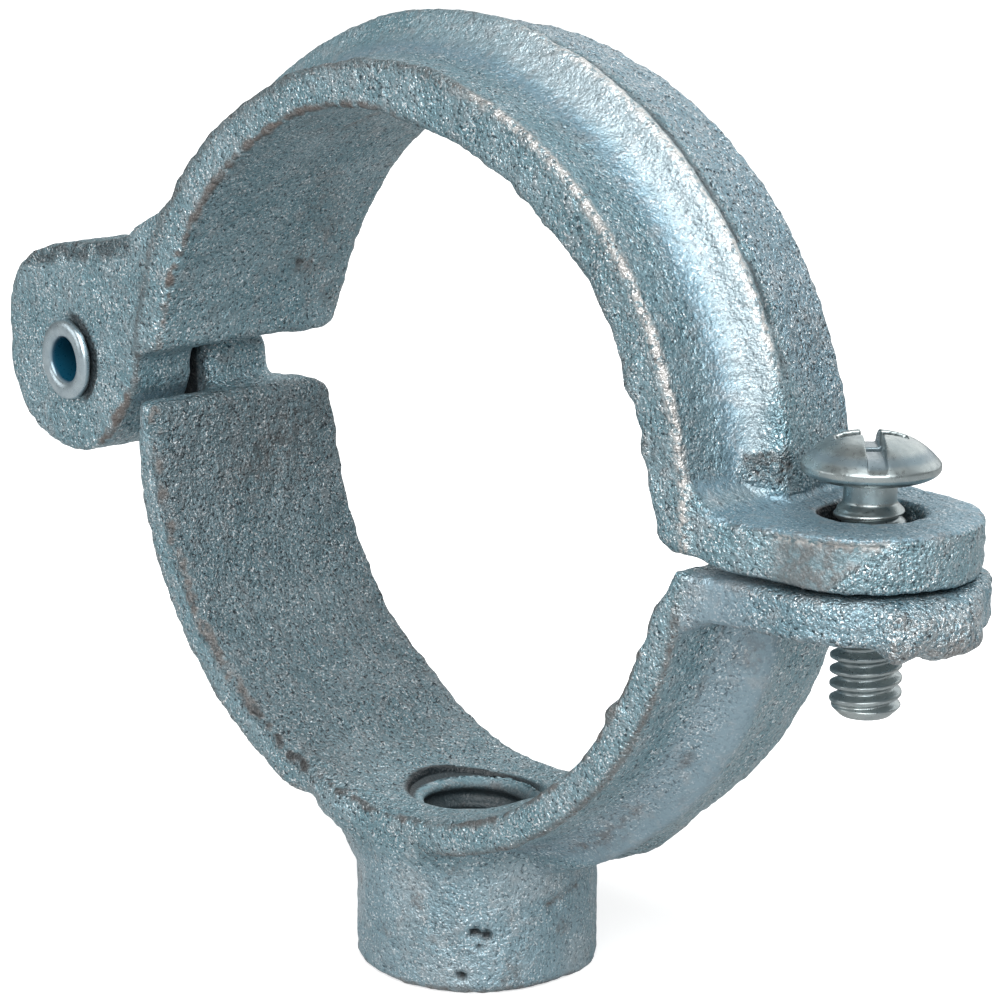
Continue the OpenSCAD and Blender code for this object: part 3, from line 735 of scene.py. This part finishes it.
def screw_skin(material):
    """Screw: the shank's radius falls from 2.38 on the crests to 1.84 in the roots along a helix,
    r = crest - depth * v, where v is a flat-topped triangle wave with one period for each pitch. The
    head is lowered towards its rim with the fifth power of the radius, and the tip is drawn in."""
    mesh = fine_mesh("clamp_screw", voxel=0.075)
    pair = edges_of(mesh)
    p = relaxed(points_of(mesh), pair, 3)
    x, y, z = (p - (SCREW_X, 0.0, 0.0)).T
    r = np.hypot(x, y)
    turn = (z - CREST_Z) / SCREW_PITCH - np.arctan2(y, x) / FULL_TURN
    v = step(np.abs(turn - np.round(turn)) * 2, 0.14, 0.86)
    along = step(z, PIPE_Z + 1.5, PIPE_Z + 0.9) * step(z, SCREW_TIP + 0.5, SCREW_TIP + 1.1)
    shank = along * step(r, 1.2, 1.7)
    inward = THREAD_DEPTH * v * shank / np.maximum(r, 0.2)
    p[:, 0] -= x * inward
    p[:, 1] -= y * inward
    p[:, 2] += 0.25 * step(z, PIPE_Z - 8.0, SCREW_TIP + 1.0)
    lowered = (0.40 * np.maximum(z - HEAD_UNDER, 0.0) + 0.08) * step(z, HEAD_UNDER - 0.1, HEAD_UNDER)
    p[:, 2] -= lowered * np.clip(r / HEAD_R, 0, 1) ** 5
    n = normals_of(mesh, p)
    height = p[:, 2] - PIPE_Z
    recess = step(height, 5.6, 5.2) * step(r, 4.3, 4.0) * step(height, 4.0, 4.3)
    # teal depths: painted shade in the head's recess, and a little on the thread
    marks = {"edge": bend_of(p, n, pair, 2), "deep": 0.45 * recess + 0.10 * shank}
    store("screw_skin", mesh, p, marks, "screw", "clamp_screw", material)


def turned(profile, around, axis):
    """Profile of radius and depth carried round the rivet axis: x and z from the angle, y from the
    depth. The profile starts and ends on the axis, where one point closes each end."""
    angle = np.linspace(0, FULL_TURN, around, endpoint=False)
    radius, depth = profile[1:-1].T
    x = axis[0] + radius[:, None] * np.cos(angle)
    z = axis[1] + radius[:, None] * np.sin(angle)
    y = np.repeat(depth[:, None], around, axis=1)
    ends = np.array([[axis[0], profile[0, 1], axis[1]], [axis[0], profile[-1, 1], axis[1]]])
    p = np.concatenate([np.stack([x, y, z], axis=2).reshape(-1, 3), ends])
    here = np.arange(around)
    after = (here + 1) % around
    row = np.arange(len(radius) - 1)[:, None] * around
    below = row + around
    quads = np.stack([row + here, below + here, below + after, row + after], axis=2).reshape(-1, 4)
    last = (len(radius) - 1) * around
    first_end = np.stack([np.full(around, len(p) - 2), here, after], axis=1)
    last_end = np.stack([last + here, np.full(around, len(p) - 1), last + after], axis=1)
    return p, quads.tolist() + first_end.tolist() + last_end.tolist()


def rivet_skin(material):
    """Rivet: a tube whose near end is rolled over into a rounded lip; the lip's edge wavers with
    the angle by a few hundredths of a millimetre and leans. Behind it has a low rounded head.
    The profile's rows are radius and y."""
    bore = np.array([[0.0, 2.5], [1.2, 2.5], [1.65, 2.4], [1.80, 2.2], [1.80, -4.0], [1.80, -8.95]])
    roll = np.linspace(0, math.pi, 15)
    lip = np.stack([2.52 - 0.72 * np.cos(roll), -9.36 - 0.60 * np.sin(roll) ** 0.6], axis=1)
    shank = np.array([[3.22, -9.30], [3.10, -9.28], [2.55, -9.28], [2.55, -8.0], [2.55, 4.75]])
    turn = np.linspace(-math.pi / 2, math.pi / 2, 11)
    head = np.stack([3.5 + 0.8 * np.cos(turn), 5.55 + 0.8 * np.sin(turn)], axis=1)
    fall = np.linspace(3.3, 0.0, 10)
    crown = np.stack([fall, 6.36 + 0.10 * (1 - (fall / 3.4) ** 2)], axis=1)
    p, faces = turned(np.concatenate([bore, lip, shank, head, crown]), 160, HINGE)
    mesh = bpy.data.meshes.new("rivet_skin")
    mesh.from_pydata(p, [], faces)
    mesh.update()
    r = np.hypot(p[:, 0] - HINGE[0], p[:, 2] - HINGE[1])
    lipped = step(p[:, 1], -8.6, -9.2)
    waver = np.stack([lumps(p, 1.1, 5), lumps(p, 1.4, 6), lumps(p, 1.1, 7)], axis=1)
    p = p + waver * (0.05 * lipped)[:, None]
    p[:, 1] -= 0.22 * lipped * (p[:, 0] - HINGE[0]) / 3.4
    n = normals_of(mesh, p)
    marks = {
        "edge": bend_of(p, n, edges_of(mesh), 1),
        # teal depths: painted shade in the rivet's bore
        "deep": window(p[:, 1], -9.4, 3.0, 0.4) * step(r, 2.25, 1.95),
    }
    store("rivet_skin", mesh, p, marks, "lower_ring", "hinge_rivet", material)


upper_casting(cast_zinc("cast_zinc"))
lower_casting(cast_zinc("cast_zinc_lower"))
screw_skin(bright_zinc("screw_zinc", (0.66, 0.66, 0.63, 1.0)))
rivet_skin(bright_zinc("rivet_zinc", (0.80, 0.85, 0.87, 1.0)))


# Stage

WHITE = (1.0, 1.0, 1.0, 1.0)
FLOOR_HALF = 3.0  # metres


def white_floor():
    """Finish of a floor that is white to the camera and still takes a soft shadow close to the boss."""
    s = Paint("white_floor")
    rays = s.add("ShaderNodeLightPath")
    away = s.add("ShaderNodeVectorMath", {"operation": "LENGTH"})
    s.put(away.inputs[0], s.place)
    strength = s.ramp(away.outputs["Value"], 12.0, 60.0, 0.62, 1.0)
    matt = s.add("ShaderNodeBsdfDiffuse", Color=(0.55, 0.55, 0.55, 1.0))
    glow = s.add("ShaderNodeEmission", Color=WHITE,
                 Strength=s.times(rays.outputs["Is Camera Ray"], strength))
    both = s.add("ShaderNodeAddShader")
    s.put(both.inputs[0], matt.outputs[0])
    s.put(both.inputs[1], glow.outputs[0])
    s.put(s.out.inputs[0], both.outputs[0])
    return s.material


def floor_sheet(half, material):
    """Square floor under the boss mouth."""
    mesh = bpy.data.meshes.new("floor")
    corners = [(-half, -half, 0), (half, -half, 0), (half, half, 0), (-half, half, 0)]
    mesh.from_pydata(corners, [], [(0, 1, 2, 3)])
    mesh.materials.append(material)
    made = bpy.data.objects.new("floor", mesh)
    bpy.context.scene.collection.objects.link(made)


def studio_air():
    """Even light from all round that the camera itself sees as white."""
    world = bpy.data.worlds.new("studio")
    bpy.context.scene.world = world
    world.use_nodes = True
    tree = world.node_tree
    light = tree.nodes["Background"]
    light.inputs["Color"].default_value = (0.97, 1.0, 1.0, 1.0)
    light.inputs["Strength"].default_value = 0.27
    white = tree.nodes.new("ShaderNodeBackground")
    white.inputs["Color"].default_value = WHITE
    rays = tree.nodes.new("ShaderNodeLightPath")
    seen = tree.nodes.new("ShaderNodeMixShader")
    tree.links.new(rays.outputs["Is Camera Ray"], seen.inputs[0])
    tree.links.new(light.outputs[0], seen.inputs[1])
    tree.links.new(white.outputs[0], seen.inputs[2])
    tree.links.new(seen.outputs[0], tree.nodes["World Output"].inputs["Surface"])


def soft_lamp(name, place, aim, size, power):
    """Rectangular lamp at a place in metres, turned towards its aim."""
    lamp = bpy.data.lights.new(name, "AREA")
    lamp.shape = "RECTANGLE"
    lamp.size, lamp.size_y = size
    lamp.energy = power
    made = bpy.data.objects.new(name, lamp)
    turn = (Vector(aim) - Vector(place)).to_track_quat("-Z", "Y").to_matrix().to_4x4()
    made.matrix_world = Matrix.Translation(place) @ turn
    bpy.context.scene.collection.objects.link(made)


floor_sheet(FLOOR_HALF, white_floor())
studio_air()
soft_lamp("key_lamp", (0.38, -0.46, 0.55), (0, 0, 0.04), (0.75, 0.75), 10.0)
soft_lamp("left_lamp", (-0.50, -0.60, 0.30), (0, 0, 0.04), (0.4, 0.4), 1.0)
soft_lamp("back_lamp", (-0.05, 0.65, 0.50), (0, 0, 0.05), (1.1, 0.9), 3.6)


# Camera

CAMERA_PLACE = (0.14232, -0.14032, 0.08198)  # metres
CAMERA_ANGLES = (44.84, 13.08, -0.34)        # azimuth, elevation and roll, degrees
CAMERA_LENS = 99.3                           # millimetres, on a sensor 36 wide


def photo_camera():
    """Camera at the photograph's angle: right, up and back axes from azimuth, elevation and roll."""
    az, el, roll = (math.radians(v) for v in CAMERA_ANGLES)
    level = Vector((math.cos(az), math.sin(az), 0))
    back = Vector((math.sin(az) * math.cos(el), -math.cos(az) * math.cos(el), math.sin(el)))
    upright = back.cross(level)
    right = math.cos(roll) * level + math.sin(roll) * upright
    up = math.cos(roll) * upright - math.sin(roll) * level
    data = bpy.data.cameras.new("photo_camera")
    data.sensor_width = 36.0
    data.lens = CAMERA_LENS
    data.clip_start = 0.01
    made = bpy.data.objects.new("photo_camera", data)
    turn = Matrix((right, up, back)).transposed().to_4x4()
    made.matrix_world = Matrix.Translation(CAMERA_PLACE) @ turn
    bpy.context.scene.collection.objects.link(made)
    bpy.context.scene.camera = made


photo_camera()
bpy.context.scene.view_settings.view_transform = "Standard"
